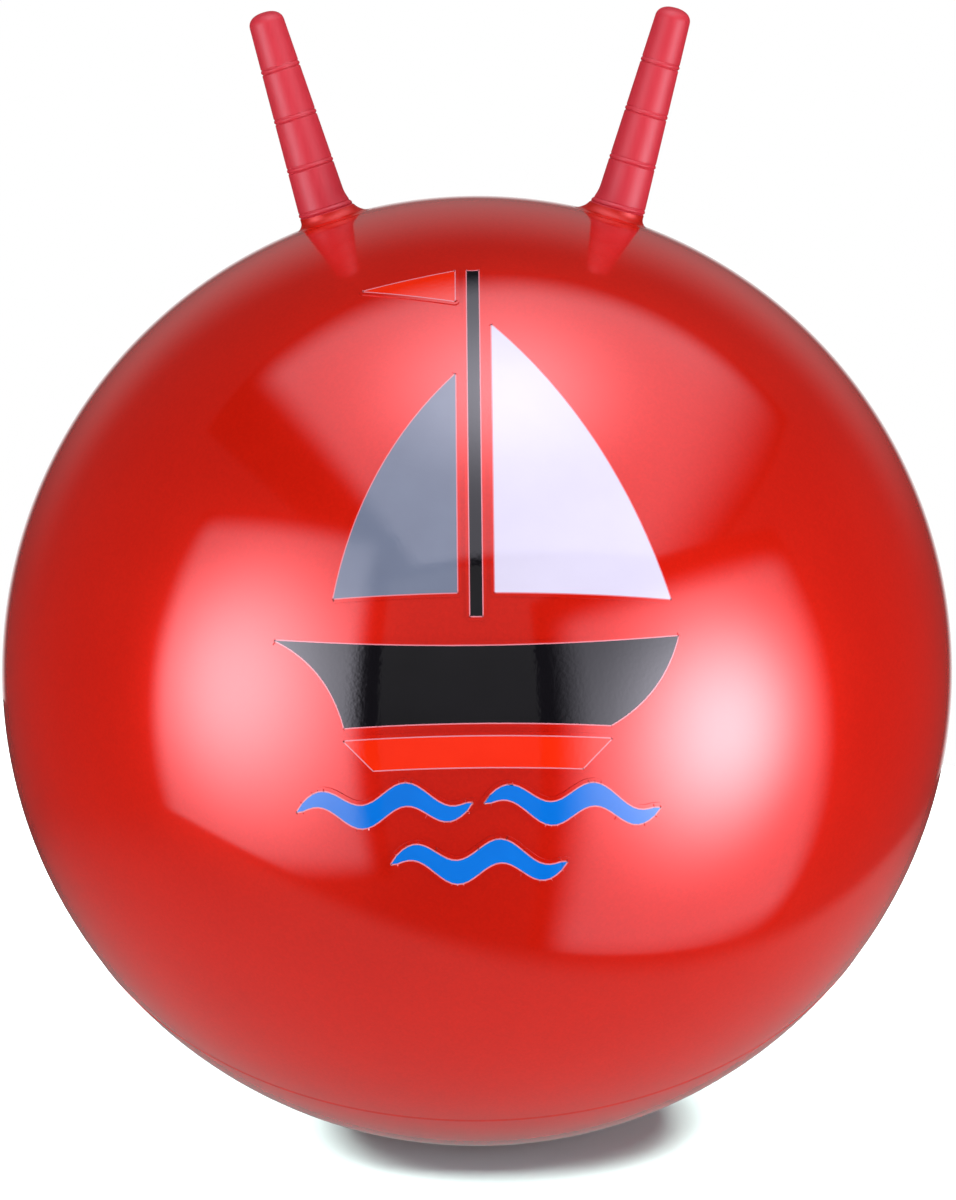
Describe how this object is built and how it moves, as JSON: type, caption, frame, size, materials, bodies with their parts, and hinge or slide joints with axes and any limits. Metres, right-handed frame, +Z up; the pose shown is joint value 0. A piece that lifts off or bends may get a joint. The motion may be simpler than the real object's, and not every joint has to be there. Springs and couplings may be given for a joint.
{
  "type": "hopper ball",
  "caption": "Inflated ride-on hopper ball in glossy pearl red vinyl with soft ringed horn handles, a plugged air valve and a sailing-boat sticker set.",
  "frame": {"origin": "middle of the flattened patch under the ball, on the floor", "axes": "+Z up, -Y towards the sticker side, +X to the right as seen from the front"},
  "size_m": [0.45, 0.4502, 0.5348],
  "materials": {
    "pearl_vinyl": "gloss",
    "satin_vinyl": "satin",
    "valve_vinyl": "satin",
    "plug_plastic": "satin",
    "black_film": "gloss",
    "white_film": "gloss",
    "grey_film": "gloss",
    "orange_film": "gloss",
    "blue_film": "gloss"
  },
  "bodies": {
    "ball": {"ball_shell": "pearl_vinyl", "valve_seat": "valve_vinyl", "mast_sticker": "black_film", "mainsail_sticker": "white_film", "jib_sticker": "grey_film", "pennant_sticker": "orange_film", "hull_sticker": "black_film", "stripe_sticker": "orange_film", "left_wave_sticker": "blue_film", "right_wave_sticker": "blue_film", "low_wave_sticker": "blue_film"},
    "left_root": {"left_root": "pearl_vinyl"},
    "left_handle": {"left_handle": "satin_vinyl"},
    "right_root": {"right_root": "pearl_vinyl"},
    "right_handle": {"right_handle": "satin_vinyl"},
    "valve_plug": {"valve_plug": "plug_plastic"}
  },
  "joints": [
    {"name": "left_handle_sway", "type": "hinge", "parent": "ball", "child": "left_root", "pos_m": [-0.06776, 0, 0.43755], "axis": [0.9613, 0, 0.2756], "range_deg": [-20, 20], "stiffness_Nm_per_rad": 3, "deforming": ["left_root"]},
    {"name": "left_handle_spread", "type": "hinge", "parent": "left_root", "child": "left_handle", "pos_m": [-0.06776, 0, 0.43755], "axis": [0, -1, 0], "range_deg": [-20, 20], "stiffness_Nm_per_rad": 3, "deforming": ["left_root"]},
    {"name": "right_handle_sway", "type": "hinge", "parent": "ball", "child": "right_root", "pos_m": [0.06776, 0, 0.43755], "axis": [0.9613, 0, -0.2756], "range_deg": [-20, 20], "stiffness_Nm_per_rad": 3, "deforming": ["right_root"]},
    {"name": "right_handle_spread", "type": "hinge", "parent": "right_root", "child": "right_handle", "pos_m": [0.06776, 0, 0.43755], "axis": [0, 1, 0], "range_deg": [-20, 20], "stiffness_Nm_per_rad": 3, "deforming": ["right_root"]},
    {"name": "valve_plug_pull", "type": "slide", "parent": "ball", "child": "valve_plug", "axis": [0, 0.766, -0.6428], "range_m": [0, 0.03]}
  ]
}
